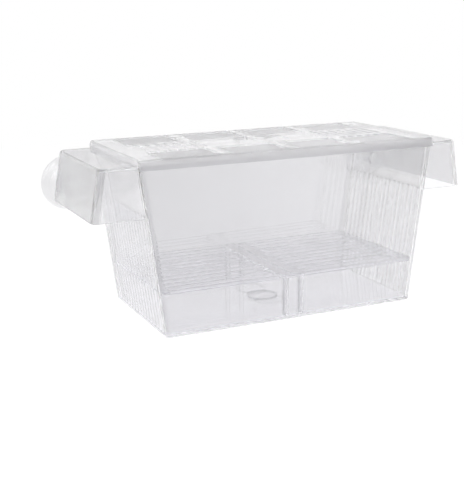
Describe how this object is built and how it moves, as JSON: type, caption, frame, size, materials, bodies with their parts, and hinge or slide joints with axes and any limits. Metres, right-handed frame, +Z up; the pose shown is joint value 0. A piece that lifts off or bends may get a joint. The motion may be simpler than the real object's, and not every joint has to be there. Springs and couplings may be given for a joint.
{
  "type": "fish breeding box",
  "caption": "Clear tapered tank with slotted end walls, a hood-like wing and suction cup at each end, a slotted false floor in halves and a lift-off lattice lid with vents.",
  "frame": {"origin": "centre of the flat underside of the tank", "axes": "+X along the box towards its right end, +Y from the front to the rear, where the suction cups are, +Z up"},
  "size_m": [0.2676, 0.104, 0.1091],
  "materials": {
    "clear_tank": "clear polished",
    "clear_lid": "clear, polished lattice, satin panels",
    "clear_plate": "clear polished",
    "soft_cup": "soft translucent"
  },
  "bodies": {
    "tank_body": {"tank": "clear_tank", "left_suction_cup": "soft_cup", "right_suction_cup": "soft_cup"},
    "lid_body": {"lid": "clear_lid"},
    "left_plate_body": {"left_floor_plate": "clear_plate"},
    "right_plate_body": {"right_floor_plate": "clear_plate"}
  },
  "joints": [
    {"name": "lid_lift", "type": "slide", "parent": "tank_body", "child": "lid_body", "axis": [0, 0, 1], "range_m": [0, 0.06]},
    {"name": "left_plate_lift", "type": "slide", "parent": "tank_body", "child": "left_plate_body", "axis": [0, 0, 1], "range_m": [0, 0.075]},
    {"name": "right_plate_lift", "type": "slide", "parent": "tank_body", "child": "right_plate_body", "axis": [0, 0, 1], "range_m": [0, 0.075]}
  ]
}
